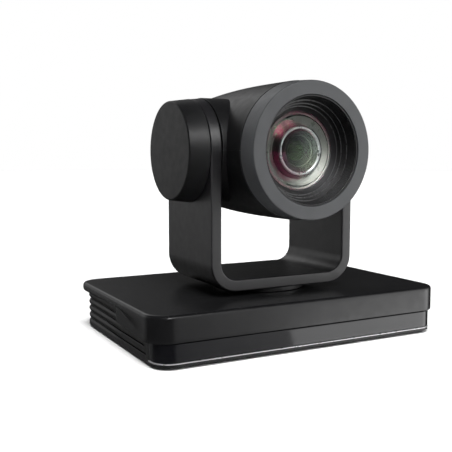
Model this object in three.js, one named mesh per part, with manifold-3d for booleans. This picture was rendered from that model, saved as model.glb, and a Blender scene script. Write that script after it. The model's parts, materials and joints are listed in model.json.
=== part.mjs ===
// A motorised pan-tilt-zoom camera: a wide flat base, a U-shaped yoke that pans on it,
// and a barrel-shaped head that tilts between the yoke's arms.
// Millimetres, +Z up, the lens looks along -Y, and the origin is under the middle of the base.
import * as THREE from "three";
import { mergeVertices } from "three/addons/utils/BufferGeometryUtils.js";
import Module from "manifold-3d";

// ---- Driving dimensions ----

const GAP = 0.3; // between pieces that meet
const WALL = 2.5; // moulded covers

const FINE = 36; // sides of a large circle
const MEDIUM = 24;
const LENS_SIDES = 32;
const SMALL = 16;
const TINY = 8;
const CORNER_STEPS = 3; // curve segments of a rounded corner in plan

const BASE_WIDTH = 242;
const BASE_DEPTH = 160;
const BASE_CORNER = 16;
const BASE_BOTTOM = 2; // the feet lift the base by this much
const SKIRT_BOTTOM = 17.4; // lower edge of the lid at the front
const RIM_BOTTOM = 29; // lower edge of the lid at the sides and rear
const LID_TOP = 36;
const LID_PLATE = 3;
const LID_EDGE = 2.4; // rounding of the lid's edges
const RIM_WIDTH = 8;
const SKIRT_WALL = 3.7;
const BODY_INSET = 4; // the housing stands in from the lid at the sides
const BODY_REAR_INSET = 5;
const BODY_FRONT_INSET = 0.4;
const BODY_CORNER = 13;
const BODY_WALL = 3;
const LIP_TOP = 3.5; // lip of the housing under the trim strip
const TRIM_TOP = 4.5;
const LEDGE_TOP = 6.3; // ledge that the bottom plate is screwed up against
const PLATE_TOP = 4;
const FRONT_END = -63.3; // the window and trim strip wrap the front corners to here
const CHEEK_END = -2; // the lid's skirt tapers away along the sides to here

const GROOVE_FIRST = 7.2; // middle height of the lowest cooling groove
const GROOVE_STEP = 5.35;
const GROOVE_HEIGHT = 1.1;
const GROOVE_DEPTH = 1.7;
const FLUTE_HEIGHT = 3; // towards the rear each groove widens to a flute
const FLUTE_DEPTH = 0.9;
const FLUTE_START = 14;

const AXIS_Y = -6; // the pan and tilt axes cross here
const TILT_HEIGHT = 140.8;

const YOKE_HALF_WIDTH = 61.1;
const YOKE_HALF_DEPTH = 37.9;
const YOKE_PLATE = 8.4;
const YOKE_BOTTOM = 39.7;
const YOKE_BEND = 21; // outer radius of the two bends
const YOKE_INNER = YOKE_HALF_WIDTH - YOKE_PLATE;

const CAP_END = 76.9; // how far the drum caps stand out from the middle
const CAP_RADIUS = 38;
const CAP_END_RADIUS = 36.2;
const ARM_EYE_RADIUS = 38.8; // arm top at its inner face

const SHAFT_RADIUS = 9;
const BEARING_RADIUS = 14;
const DISC_RADIUS = 36;

const FACE = 74; // from the tilt axis forward to the ring's face
const RING_RADIUS = 48.3;
const RING_OPENING = 38.55;
const RING_DEPTH = 16;
const BARREL_RADIUS = 49.7;
const BARREL_CREST = -19; // where the barrel is widest, along Y from the tilt axis
const BARREL_TAPER = 4.4; // how much its radius has fallen at the rear
const BARREL_REAR = 66;
const COVER_START = 52; // the rear cover's seam
const REAR_END = 68;
const DRUM_RADIUS = 39.2; // cross drum of the head, between the arms
const DRUM_END = YOKE_INNER - 0.4;
const AXLE_RADIUS = 5;
const ARM_BEARING_RADIUS = 9;

const LENS_RADIUS = 28;
const HOUSING_HALF = 25; // lens housing, square in section
const HOUSING_BORE = 20;
const HOUSING_START = 28.6; // depths of the lens parts are measured back from the ring's face
const HOUSING_END = 94;
const ROD_OFFSET = 16.5;

const GEAR_TEETH = 32;
const PINION_TEETH = 8;
const PAN_MODULE = 1.5;
const TILT_MODULE = 1.15;

// ---- Making solids ----

const wasm = await Module();
wasm.setup();

// The closed surface of a three.js geometry, as a solid that can be cut and joined.
function solidOf(geometry) {
  const bare = geometry.clone();
  bare.deleteAttribute("normal");
  bare.deleteAttribute("uv");
  const merged = mergeVertices(bare, 1e-4);
  const corners = merged.index.array;
  const kept = [];
  for (let i = 0; i < corners.length; i += 3) {
    const [a, b, c] = corners.slice(i, i + 3);
    if (a !== b && b !== c && c !== a) kept.push(a, b, c);
  }
  const vertProperties = new Float32Array(merged.attributes.position.array);
  return new wasm.Manifold(new wasm.Mesh({ numProp: 3, vertProperties, triVerts: new Uint32Array(kept) }));
}

function geometryOf(solid) {
  const mesh = solid.getMesh();
  const geometry = new THREE.BufferGeometry();
  geometry.setAttribute("position", new THREE.BufferAttribute(mesh.vertProperties, mesh.numProp));
  geometry.setIndex(new THREE.BufferAttribute(mesh.triVerts, 1));
  geometry.computeVertexNormals();
  return geometry;
}

const TURN_TO = {
  X: (geometry) => geometry.rotateZ(-Math.PI / 2),
  Y: (geometry) => geometry,
  Z: (geometry) => geometry.rotateX(Math.PI / 2),
};

// A body of revolution about an axis, from a closed outline of [radius, place along the axis].
function turned(outline, axis, sides) {
  const points = outline.map(([radius, along]) => new THREE.Vector2(radius, along));
  if (THREE.ShapeUtils.area(points) < 0) points.reverse();
  points.push(points[0].clone());
  return solidOf(TURN_TO[axis](new THREE.LatheGeometry(points, sides)));
}

function rod(radius, from, to, axis, sides) {
  return turned([[0, from], [radius, from], [radius, to], [0, to]], axis, sides);
}

function tube(outer, inner, from, to, axis, sides) {
  return turned([[inner, from], [outer, from], [outer, to], [inner, to]], axis, sides);
}

function box(x0, x1, y0, y1, z0, z1) {
  const geometry = new THREE.BoxGeometry(x1 - x0, y1 - y0, z1 - z0);
  return solidOf(geometry.translate((x0 + x1) / 2, (y0 + y1) / 2, (z0 + z1) / 2));
}

// A flat shape in plan, raised from one height to another.
function raised(shape, bottom, top) {
  const depth = top - bottom;
  const geometry = new THREE.ExtrudeGeometry(shape, { depth, bevelEnabled: false, curveSegments: CORNER_STEPS });
  return solidOf(geometry.translate(0, 0, bottom));
}

// The same, with its upper and lower edges rounded.
function raisedRound(shape, bottom, top, edge) {
  const geometry = new THREE.ExtrudeGeometry(shape, {
    depth: top - bottom - 2 * edge,
    bevelThickness: edge,
    bevelSize: edge,
    bevelOffset: -edge,
    bevelSegments: 2,
    curveSegments: CORNER_STEPS,
  });
  return solidOf(geometry.translate(0, 0, bottom + edge));
}

function roundedRectangle(x0, x1, y0, y1, radius) {
  const shape = new THREE.Shape();
  shape.moveTo(x0 + radius, y0);
  shape.absarc(x1 - radius, y0 + radius, radius, -Math.PI / 2, 0);
  shape.absarc(x1 - radius, y1 - radius, radius, 0, Math.PI / 2);
  shape.absarc(x0 + radius, y1 - radius, radius, Math.PI / 2, Math.PI);
  shape.absarc(x0 + radius, y0 + radius, radius, Math.PI, 1.5 * Math.PI);
  return shape;
}

function polygon(points) {
  return new THREE.Shape(points.map(([x, y]) => new THREE.Vector2(x, y)));
}

function joined(solids) {
  return solids.reduce((sum, solid) => sum.add(solid));
}

// Points along an arc of a turned outline, angles in degrees from the outward direction.
function arc(radius, along, size, from, to, steps) {
  return Array.from({ length: steps + 1 }, (_, i) => {
    const angle = THREE.MathUtils.degToRad(from + ((to - from) * i) / steps);
    return [radius + size * Math.cos(angle), along + size * Math.sin(angle)];
  });
}

// A shallow spherical surface from its middle out to a radius, as outline points.
function dome(vertex, rise, radius, steps) {
  const sphere = (radius * radius + rise * rise) / (2 * rise);
  return Array.from({ length: steps + 1 }, (_, i) => {
    const r = (radius * i) / steps;
    return [r, vertex + sphere - Math.sqrt(sphere * sphere - r * r)];
  });
}

// ---- Materials ----

const blackPlastic = { color: 0x1d1e20, roughness: 0.45, metalness: 0 };
const greyPlastic = { color: 0x4b4c4e, roughness: 0.5, metalness: 0 };
const smokedPanel = { color: 0x0c0d10, roughness: 0.08, metalness: 0 };
const brightTrim = { color: 0xb4b6b8, roughness: 0.25, metalness: 0.9 };
const rubber = { color: 0x151515, roughness: 0.9, metalness: 0 };
const steel = { color: 0x9a9c9e, roughness: 0.35, metalness: 1 };
const darkMetal = { color: 0x303236, roughness: 0.4, metalness: 0.8 };
const board = { color: 0x1f5a36, roughness: 0.6, metalness: 0 };
const nylon = { color: 0xd8d4c8, roughness: 0.6, metalness: 0 };
const glass = { color: 0x26343a, roughness: 0.03, metalness: 0 };
const matteBlack = { color: 0x0a0a0b, roughness: 0.8, metalness: 0 };

// Adds a named piece to a group.
function piece(group, name, solid, finish) {
  const mesh = new THREE.Mesh(geometryOf(solid), new THREE.MeshStandardMaterial(finish));
  mesh.name = name;
  group.add(mesh);
  return mesh;
}

// ---- Base ----

const HALF_WIDTH = BASE_WIDTH / 2;
const HALF_DEPTH = BASE_DEPTH / 2;

// A rounded rectangle set in from the lid's outline.
function lidPlan(side, front, rear, radius) {
  return roundedRectangle(-HALF_WIDTH + side, HALF_WIDTH - side, -HALF_DEPTH + front, HALF_DEPTH - rear, radius);
}

// A rounded rectangle set in from the housing's outline.
function bodyPlan(inset) {
  return lidPlan(
    BODY_INSET + inset,
    BODY_FRONT_INSET + inset,
    BODY_REAR_INSET + inset,
    Math.max(BODY_CORNER - inset, 1),
  );
}

const FAR = 200; // reaches past everything
const BODY_HALF = HALF_WIDTH - BODY_INSET;
const BODY_REAR = HALF_DEPTH - BODY_REAR_INSET;
const BODY_TOP = RIM_BOTTOM - GAP;

function frontOf(y, bottom, top) {
  return box(-FAR, FAR, -FAR, y, bottom, top);
}

const LID_POSTS = [-1, 1].flatMap((side) => [[side * 101, -58], [side * 101, 55]]);
const POST_RADIUS = 4.5;
const POST_BORE = 1.9;

function topCover() {
  const rim = raisedRound(lidPlan(0, 0, 0, BASE_CORNER), RIM_BOTTOM, LID_TOP, LID_EDGE);
  const below = SKIRT_BOTTOM - LID_EDGE;
  const skirt = raisedRound(lidPlan(0, 0, 0, BASE_CORNER), below, LID_TOP, LID_EDGE)
    .subtract(box(-FAR, FAR, -FAR, FAR, below - 1, SKIRT_BOTTOM))
    .intersect(frontOf(CHEEK_END, 0, FAR));
  const skirtInside = raised(lidPlan(SKIRT_WALL, SKIRT_WALL, SKIRT_WALL, BASE_CORNER - SKIRT_WALL), 0, RIM_BOTTOM);
  const cornerEnd = -HALF_DEPTH + BASE_CORNER;
  const taper = [-1, 1].map((side) =>
    raised(polygon([
      [side * HALF_WIDTH, cornerEnd],
      [side * (HALF_WIDTH + 4), cornerEnd],
      [side * (HALF_WIDTH + 4), 0],
      [side * (HALF_WIDTH - SKIRT_WALL), CHEEK_END],
    ]), 0, RIM_BOTTOM));
  const underLid = raised(lidPlan(RIM_WIDTH, SKIRT_WALL, RIM_WIDTH, BASE_CORNER - RIM_WIDTH), 0, LID_TOP - LID_PLATE);
  const shell = rim.add(skirt.subtract(joined([skirtInside, ...taper]))).subtract(underLid);
  const plateBottom = LID_TOP - LID_PLATE;
  const bearingSeat = tube(BEARING_RADIUS + 3, BEARING_RADIUS + GAP, 27, plateBottom + 0.5, "Z", MEDIUM)
    .translate([0, AXIS_Y, 0]);
  const posts = LID_POSTS.map(([x, y]) =>
    tube(POST_RADIUS, POST_BORE, PLATE_TOP + GAP, plateBottom + 0.5, "Z", TINY).translate([x, y, 0]));
  const shaftHole = rod(SHAFT_RADIUS + 1.5, plateBottom - 1, LID_TOP + 1, "Z", MEDIUM).translate([0, AXIS_Y, 0]);
  return joined([shell, bearingSeat, ...posts]).subtract(shaftHole);
}

// A level band round the sides and rear of the housing, from a start along Y.
function grooveCutter(height, middle, depth, start) {
  const outside = raised(bodyPlan(-5), middle - height / 2, middle + height / 2);
  const inside = raised(bodyPlan(depth), middle - height, middle + height);
  const rearEnds = box(-BODY_HALF + 22, BODY_HALF - 22, 0, FAR, 0, FAR);
  return outside.subtract(joined([inside, frontOf(start, 0, FAR), rearEnds]));
}

const REAR_OPENING = { halfWidth: 80, bottom: 8, top: 26 };

function lowerHousing() {
  const outer = raised(bodyPlan(0), BASE_BOTTOM, BODY_TOP);
  const inner = raised(bodyPlan(BODY_WALL), LEDGE_TOP, FAR);
  const throat = raised(bodyPlan(9), 0, LEDGE_TOP + 1);
  const plateSeat = raised(bodyPlan(4.6), 0, PLATE_TOP + GAP);
  const frontAbove = frontOf(FRONT_END + GAP, LEDGE_TOP, FAR);
  const frontSkin = raised(bodyPlan(-5), LIP_TOP, FAR)
    .subtract(raised(bodyPlan(2.8), 0, FAR))
    .intersect(frontOf(FRONT_END + GAP, 0, FAR));
  const { halfWidth, bottom, top } = REAR_OPENING;
  const rearOpening = box(-halfWidth, halfWidth, BODY_REAR - 8, FAR, bottom, top);
  const starts = [-61, -58, -5, 0];
  const grooves = starts.flatMap((start, i) => {
    const middle = GROOVE_FIRST + i * GROOVE_STEP;
    return [
      grooveCutter(GROOVE_HEIGHT, middle, GROOVE_DEPTH, start),
      grooveCutter(FLUTE_HEIGHT, middle, FLUTE_DEPTH, FLUTE_START),
    ];
  });
  return outer.subtract(joined([inner, throat, plateSeat, frontAbove, frontSkin, rearOpening, ...grooves]));
}

// A band that follows the housing's front and its two front corners.
function frontBand(outset, inset, bottom, top) {
  return raised(bodyPlan(-outset), bottom, top)
    .subtract(raised(bodyPlan(inset), 0, FAR))
    .intersect(frontOf(FRONT_END, 0, FAR));
}

const FEET = [-1, 1].flatMap((side) => [[side * 84, -58], [side * 84, 54]]);
const FOOT_RADIUS = 9;
const FOOT_POCKET = 0.9;
const INSERT_RADIUS = 6;

function bottomPlate() {
  const plate = raised(bodyPlan(4.9), BASE_BOTTOM, PLATE_TOP);
  const footPockets = FEET.map(([x, y]) =>
    rod(FOOT_RADIUS + GAP, 0, BASE_BOTTOM + FOOT_POCKET, "Z", SMALL).translate([x, y, 0]));
  const screwHoles = LID_POSTS.map(([x, y]) => rod(1.9, 0, 9, "Z", TINY).translate([x, y, 0]));
  const screwSeats = LID_POSTS.map(([x, y]) => rod(3.5, 0, BASE_BOTTOM + 1.2, "Z", TINY).translate([x, y, 0]));
  const insertHole = rod(INSERT_RADIUS + GAP, 0, 9, "Z", SMALL);
  return plate.subtract(joined([...footPockets, ...screwHoles, ...screwSeats, insertHole]));
}

function foot() {
  const top = BASE_BOTTOM + FOOT_POCKET - GAP;
  return turned([[0, 0], ...arc(FOOT_RADIUS - 0.6, 0.6, 0.6, -90, 0, 2), [FOOT_RADIUS, top], [0, top]], "Z", SMALL);
}

function baseScrew() {
  const head = rod(3.1, BASE_BOTTOM + 0.1, BASE_BOTTOM + 0.9, "Z", TINY);
  const thread = rod(1.5, BASE_BOTTOM + 0.5, 16, "Z", TINY);
  const cross = joined([box(-1.6, 1.6, -0.3, 0.3, 0, 2.6), box(-0.3, 0.3, -1.6, 1.6, 0, 2.6)]);
  return head.add(thread).subtract(cross);
}

// Threaded socket for a stand's 1/4 inch screw, closed at its inner end.
function tripodInsert() {
  return tube(INSERT_RADIUS, 3.2, BASE_BOTTOM, 13, "Z", SMALL)
    .add(rod(INSERT_RADIUS, 12, 14, "Z", SMALL))
    .add(tube(8.5, 3.2, PLATE_TOP + GAP, 6, "Z", SMALL));
}

const PANEL_FRONT = BODY_REAR - BODY_WALL - GAP - 2;
const PANEL_BACK = PANEL_FRONT + 2;
const SOCKET_FRONT = PANEL_FRONT - 8;
const SOCKET_MIDDLE = 17;

// Place across the rear, and half sizes of the hole that each socket needs in the panel.
const SOCKETS = {
  power_jack: { x: -68, half: [4.5, 5.5] },
  network_port: { x: -42, half: [8, 6.75] },
  usb_port: { x: -16, half: [6, 5.5] },
  hdmi_port: { x: 10, half: [7.5, 3] },
  serial_port_in: { x: 33, half: [5.5, 5.5] },
  serial_port_out: { x: 52, half: [5.5, 5.5] },
  audio_jack: { x: 70, half: [3.5, 3.5] },
};

function rearPanel() {
  const { halfWidth, top } = REAR_OPENING;
  const plate = box(-halfWidth - 4, halfWidth + 4, PANEL_FRONT, PANEL_BACK, LEDGE_TOP + GAP, top + 2);
  const holes = Object.values(SOCKETS).map(({ x, half: [w, h] }) =>
    box(x - w - GAP, x + w + GAP, PANEL_FRONT - 1, PANEL_BACK + 1, SOCKET_MIDDLE - h - GAP, SOCKET_MIDDLE + h + GAP));
  return plate.subtract(joined(holes));
}

// A block that fills its hole in the rear panel, about the middle of the socket.
function socketBlock({ x, half: [w, h] }) {
  return box(x - w, x + w, SOCKET_FRONT, PANEL_BACK + 0.6, SOCKET_MIDDLE - h, SOCKET_MIDDLE + h);
}

// A socket with a rectangular mouth and a tongue standing in it.
function squareSocket(place, [mouthW, mouthH], tongue) {
  const mouth = box(
    place.x - mouthW, place.x + mouthW, SOCKET_FRONT + 1.5, FAR, SOCKET_MIDDLE - mouthH, SOCKET_MIDDLE + mouthH,
  );
  const body = socketBlock(place).subtract(mouth);
  if (!tongue) return body;
  const { w, bottom, top } = tongue;
  return body.add(box(
    place.x - w, place.x + w, SOCKET_FRONT + 1, PANEL_BACK - 0.6, SOCKET_MIDDLE + bottom, SOCKET_MIDDLE + top,
  ));
}

// A socket with a round mouth, with or without a pin in the middle.
function roundSocket(place, mouthRadius, pinRadius) {
  const at = [place.x, 0, SOCKET_MIDDLE];
  const mouth = rod(mouthRadius, SOCKET_FRONT + 1.5, FAR, "Y", SMALL).translate(at);
  const body = socketBlock(place).subtract(mouth);
  if (!pinRadius) return body;
  return body.add(rod(pinRadius, SOCKET_FRONT + 1, PANEL_BACK - 0.8, "Y", TINY).translate(at));
}

function mainBoard() {
  const bottom = 8;
  const top = bottom + 1.6;
  const plate = box(-92, 92, 24, SOCKET_FRONT + 5, bottom, top);
  const chips = [[-60, 44, 12, 2.2], [-28, 42, 9, 1.8], [4, 46, 9, 1.8], [34, 42, 7, 3], [66, 44, 10, 2.6]];
  const packages = chips.map(([x, y, half, height]) =>
    box(x - half, x + half, y - half, y + half, top - 0.2, top + height));
  return joined([plate, ...packages]);
}

// Receivers and indicator lamps that look out through the front window.
function receiverBoard() {
  const back = -71;
  const plate = box(-70, 70, back - 1.6, back, LEDGE_TOP + GAP, 16.4);
  const receivers = [-58, 58].map((x) =>
    turned([[0, 0], [3.2, 0], ...dome(-3.4, 2.4, 3.2, 3).reverse()], "Y", TINY).translate([x, back - 1.5, 11.5]));
  const lamps = [-6, 0, 6].map((x) => rod(1.2, -2, 0, "Y", TINY).translate([x, back - 1.5, 11.5]));
  return joined([plate, ...receivers, ...lamps]);
}

// ---- Gears ----

// Outline of a gear with straight-sided teeth. The first tooth points along +X when phase is 0,
// and the first space does when it is half a tooth.
function gearShape(teeth, module, phase) {
  const pitch = (teeth * module) / 2;
  const root = pitch - 1.1 * module;
  const tip = pitch + 0.75 * module;
  const turn = (2 * Math.PI) / teeth;
  const corners = [[root, -0.3], [tip, -0.11], [tip, 0.11], [root, 0.3]];
  const points = [];
  for (let i = 0; i < teeth; i++) {
    for (const [radius, share] of corners) {
      const angle = (i + share + phase) * turn;
      points.push([radius * Math.cos(angle), radius * Math.sin(angle)]);
    }
  }
  return polygon(points);
}

// ---- Yoke, about the pan axis ----

const GEAR_BOTTOM = 21.5;
const GEAR_TOP = 25.5;
const PAN_MOTOR_TOP = 19;
const PAN_CENTRES = ((GEAR_TEETH + PINION_TEETH) * PAN_MODULE) / 2;
const TILT_CENTRES = ((GEAR_TEETH + PINION_TEETH) * TILT_MODULE) / 2;

function panGear() {
  return raised(gearShape(GEAR_TEETH, PAN_MODULE, 0), GEAR_BOTTOM, GEAR_TOP)
    .subtract(rod(SHAFT_RADIUS + GAP, 0, FAR, "Z", MEDIUM));
}

// A space of the pinion faces the gear's tooth.
function panPinion() {
  const wheel = raised(gearShape(PINION_TEETH, PAN_MODULE, 0.5), GEAR_BOTTOM, GEAR_TOP);
  return wheel.add(rod(1.5, PAN_MOTOR_TOP + GAP, GEAR_TOP + 0.8, "Z", TINY));
}

// A round can motor with two screw ears, standing on a face and looking along an axis.
function canMotor(radius, from, to, axis, earsAt) {
  const can = turned([
    [0, from], [radius - 0.8, from], [radius, from + Math.sign(to - from) * 0.8], [radius, to], [0, to],
  ], axis, MEDIUM);
  const ears = axis === "Z"
    ? box(-radius - 5, radius + 5, -3, 3, earsAt - 1, earsAt)
    : box(earsAt, earsAt + 1, -radius - 2, radius + 2, -2.5, 2.5);
  return can.add(ears);
}

function yokeFrame() {
  const inner = YOKE_BEND - YOKE_PLATE;
  const top = TILT_HEIGHT + YOKE_HALF_DEPTH;
  const section = new THREE.Shape();
  section.moveTo(-YOKE_HALF_WIDTH, top);
  section.absarc(-YOKE_HALF_WIDTH + YOKE_BEND, YOKE_BOTTOM + YOKE_BEND, YOKE_BEND, Math.PI, 1.5 * Math.PI);
  section.absarc(YOKE_HALF_WIDTH - YOKE_BEND, YOKE_BOTTOM + YOKE_BEND, YOKE_BEND, 1.5 * Math.PI, 2 * Math.PI);
  section.lineTo(YOKE_HALF_WIDTH, top);
  section.lineTo(YOKE_INNER, top);
  section.absarc(YOKE_INNER - inner, YOKE_BOTTOM + YOKE_BEND, inner, 2 * Math.PI, 1.5 * Math.PI, true);
  section.absarc(-YOKE_INNER + inner, YOKE_BOTTOM + YOKE_BEND, inner, 1.5 * Math.PI, Math.PI, true);
  section.lineTo(-YOKE_INNER, top);
  const bent = new THREE.ExtrudeGeometry(section, { depth: 2 * YOKE_HALF_DEPTH, bevelEnabled: false, curveSegments: 4 });
  const channel = solidOf(bent.rotateX(Math.PI / 2).translate(0, YOKE_HALF_DEPTH, 0));
  const side = new THREE.Shape();
  side.moveTo(-YOKE_HALF_DEPTH, 0);
  side.lineTo(YOKE_HALF_DEPTH, 0);
  side.absarc(0, TILT_HEIGHT, YOKE_HALF_DEPTH, 0, Math.PI);
  const profile = new THREE.ExtrudeGeometry(side, { depth: 2 * FAR, bevelEnabled: false, curveSegments: FINE / 4 });
  const roundTopped = solidOf(profile.rotateX(Math.PI / 2).rotateZ(Math.PI / 2).translate(-FAR, 0, 0));
  const eyes = [-1, 1].map((out) =>
    turned([
      [0, out * YOKE_INNER], [ARM_EYE_RADIUS, out * YOKE_INNER],
      [CAP_RADIUS, out * YOKE_HALF_WIDTH], [0, out * YOKE_HALF_WIDTH],
    ], "X", FINE).translate([0, 0, TILT_HEIGHT]));
  const bearingHole = rod(ARM_BEARING_RADIUS + GAP, -FAR, FAR, "X", MEDIUM).translate([0, 0, TILT_HEIGHT]);
  return joined([channel.intersect(roundTopped), ...eyes]).subtract(bearingHole);
}

function turntableDisc() {
  const bottom = LID_TOP + GAP;
  const top = YOKE_BOTTOM - GAP;
  return tube(DISC_RADIUS, SHAFT_RADIUS + GAP, bottom, top, "Z", FINE);
}

// Cup that closes the outside of an arm; out is -1 on the left and 1 on the right.
function drumCap(out) {
  const start = YOKE_HALF_WIDTH + GAP;
  const edge = 1.4;
  const outline = [
    [CAP_RADIUS - WALL, start],
    [CAP_RADIUS, start],
    ...arc(CAP_END_RADIUS - edge, CAP_END - edge, edge, 0, 90, 3),
    [0, CAP_END],
    [0, CAP_END - 2],
    [CAP_END_RADIUS - WALL, CAP_END - 2],
  ];
  return turned(outline.map(([radius, along]) => [radius, out * along]), "X", FINE);
}

const TILT_GEAR_FROM = 62;
const TILT_GEAR_TO = 65.5;
const TILT_MOTOR_FROM = 66.6;
const TILT_MOTOR_TO = 74;

function tiltPinion() {
  const outline = gearShape(PINION_TEETH, TILT_MODULE, 0.5);
  const wheel = raised(outline, -TILT_GEAR_TO, -TILT_GEAR_FROM);
  const shaft = rod(1, -TILT_MOTOR_FROM + GAP, -TILT_GEAR_FROM + 0.3, "Z", TINY);
  return wheel.add(shaft).rotate([0, 90, 0]);
}

// ---- Head, about the tilt axis ----

// Radius of the barrel at a place along Y: widest at its crest, tapering to the rear.
function barrelRadius(y) {
  const behind = Math.max(y - BARREL_CREST, 0) / (BARREL_REAR - BARREL_CREST);
  const ahead = Math.max(BARREL_CREST - y, 0) / (BARREL_CREST + FACE);
  return BARREL_RADIUS - BARREL_TAPER * behind ** 2 - 0.5 * ahead ** 2;
}

// Outline points along the barrel's side, moved in by a depth.
function barrelSide(from, to, steps, depth = 0) {
  return Array.from({ length: steps + 1 }, (_, i) => {
    const y = from + ((to - from) * i) / steps;
    return [barrelRadius(y) - depth, y];
  });
}

const BARREL_START = -FACE + RING_DEPTH;
const SEAM = 0.2; // half the seam between the two shells

function headShells() {
  const barrel = turned([
    [0, BARREL_START], ...barrelSide(BARREL_START, COVER_START - GAP, 6), [0, COVER_START - GAP],
  ], "Y", FINE);
  const drum = turned([
    [0, -DRUM_END], [DRUM_RADIUS - 0.6, -DRUM_END], [DRUM_RADIUS, -DRUM_END + 0.6],
    [DRUM_RADIUS, DRUM_END - 0.6], [DRUM_RADIUS - 0.6, DRUM_END], [0, DRUM_END],
  ], "X", FINE);
  const bore = turned([
    [0, -FAR], [barrelRadius(BARREL_START) - WALL, -FAR], ...barrelSide(BARREL_START, COVER_START, 3, WALL),
    [barrelRadius(COVER_START) - WALL, FAR], [0, FAR],
  ], "Y", FINE);
  const drumInside = rod(DRUM_RADIUS - WALL, -DRUM_END + WALL, DRUM_END - WALL, "X", MEDIUM);
  const axleHoles = rod(AXLE_RADIUS + GAP, -FAR, FAR, "X", SMALL);
  return barrel.add(drum).subtract(joined([bore, drumInside, axleHoles]));
}

// The lower shell carries four posts that the lens housing is screwed to.
function headLowerShell(shells) {
  const posts = [-1, 1].flatMap((side) => [-30, 12].map((y) =>
    rod(3.5, -barrelRadius(y) + 1.5, -HOUSING_HALF - GAP, "Z", TINY).translate([side * 15, y, 0])));
  const trimmed = posts.map((post) => post.intersect(
    turned([[0, BARREL_START], ...barrelSide(BARREL_START, COVER_START - GAP, 3, 0.5), [0, COVER_START - GAP]], "Y", FINE)));
  return joined([shells.intersect(box(-FAR, FAR, -FAR, FAR, -FAR, -SEAM)), ...trimmed]);
}

function frontBezel() {
  const rear = BARREL_START - GAP;
  const rearRadius = barrelRadius(BARREL_START) - 0.2;
  const edge = 0.9;
  return turned([
    [RING_OPENING, -FACE + 0.4],
    [RING_OPENING + 0.4, -FACE],
    ...arc(RING_RADIUS - edge, -FACE + edge, edge, -90, 0, 3),
    [rearRadius, rear],
    [rearRadius - WALL, rear],
    [rearRadius - WALL - 1, -FACE + 9],
    [RING_OPENING, -FACE + 8],
  ], "Y", FINE);
}

function rearCover() {
  const start = COVER_START;
  const rim = barrelRadius(start);
  const round = 9;
  const flat = barrelRadius(REAR_END - round) - round;
  return turned([
    ...barrelSide(start, REAR_END - round, 1),
    ...arc(flat, REAR_END - round, round, 10, 90, 3),
    [0, REAR_END],
    [0, REAR_END - WALL],
    ...arc(flat, REAR_END - round, round - WALL, 90, 10, 1),
    [rim - WALL, start],
  ], "Y", FINE);
}

// Stub axle with a flange inside the drum's end wall.
function tiltAxle(out, end) {
  const flange = DRUM_END - WALL - GAP;
  return turned([
    [0, flange - 4], [9, flange - 4], [9, flange], [AXLE_RADIUS, flange],
    [AXLE_RADIUS, end - 0.5], [AXLE_RADIUS - 0.5, end], [0, end],
  ].map(([radius, along]) => [radius, out * along]), "X", SMALL);
}

// Meshes with the pinion below it, so the pinion's line is along -Z.
function tiltGear() {
  const wheel = raised(gearShape(GEAR_TEETH, TILT_MODULE, 0), -TILT_GEAR_TO, -TILT_GEAR_FROM)
    .subtract(rod(AXLE_RADIUS + GAP, -FAR, FAR, "Z", SMALL));
  return wheel.rotate([0, 90, 0]);
}

// The outlines below are [radius, depth behind the ring's face].
function lensPart(outline, sides) {
  return turned(outline.map(([radius, depth]) => [radius, depth - FACE]), "Y", sides);
}

function lensHood() {
  return lensPart([
    [38.2, 0.9], [37.5, 0.9],
    [35.6, 9], [34.8, 9],
    [33.6, 13], [32.8, 13],
    [31.8, 16], [31, 16],
    [LENS_RADIUS + GAP, 18.4], [LENS_RADIUS + GAP, 28],
    [31.5, 28], [31.5, 21], [38.2, 12],
  ], LENS_SIDES);
}

function frontLens() {
  return lensPart([
    ...dome(12, 6.8, LENS_RADIUS, 4),
    [LENS_RADIUS, 20.6],
    [LENS_RADIUS - 1, 20.6],
    ...dome(13.5, 6.4, LENS_RADIUS - 1.5, 3).reverse(),
  ], LENS_SIDES);
}

function lensCell() {
  return lensPart([
    [LENS_RADIUS, 20.9], [LENS_RADIUS - 1, 20.9],
    [19.4, 23.2], [18.1, 17.2], [17.5, 17.2],
    [17.5, 19.4], [11.2, 19.6], [10.8, 20.2],
    [7, 22.9], [6.9, 28.2], [LENS_RADIUS, 28.2],
  ], LENS_SIDES);
}

function retainerRing() {
  return lensPart([[15.3, 17.4], [15.9, 16.8], [16.8, 16.8], [17.2, 17.2], [17.2, 18.8], [15.3, 18.8]], MEDIUM);
}

function secondLens() {
  return lensPart([
    ...dome(16.5, 1, 15, 2), [15, 19.1], ...dome(17.9, 0.9, 14.4, 2).reverse(),
  ], MEDIUM);
}

function thirdLens() {
  return lensPart([...dome(22.4, 1.4, 6.6, 3), [6.6, 25.5], [0, 25.5]], SMALL);
}

function lensHousing() {
  const half = HOUSING_HALF;
  const profile = new THREE.ExtrudeGeometry(roundedRectangle(-half, half, -half, half, 4), {
    depth: HOUSING_END - HOUSING_START, bevelEnabled: false, curveSegments: 1,
  });
  const block = solidOf(profile.rotateX(Math.PI / 2).translate(0, HOUSING_END - FACE, 0));
  const bore = rod(HOUSING_BORE, -FAR, HOUSING_END - 4 - FACE, "Y", MEDIUM);
  const windowHole = rod(8, 0, FAR, "Y", SMALL);
  return block.subtract(bore).subtract(windowHole);
}

function carrier(front, back, lensRadius) {
  const ring = tube(HOUSING_BORE - 0.5, lensRadius + GAP, front - FACE, back - FACE, "Y", MEDIUM);
  const rodHoles = [-1, 1].map((side) => rod(1.4, -FAR, FAR, "Y", TINY).translate([0, 0, side * ROD_OFFSET]));
  return ring.subtract(joined(rodHoles));
}

// A lens bulging equally to the front and the back.
function biconvexLens(middle, radius, edge, bulge) {
  const front = dome(middle - edge / 2 - bulge, bulge, radius, 3);
  const back = front.map(([r, depth]) => [r, 2 * middle - depth]).reverse();
  return lensPart([...front, ...back], SMALL);
}

// ---- Assembly ----

const ptzCamera = new THREE.Group();

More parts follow.
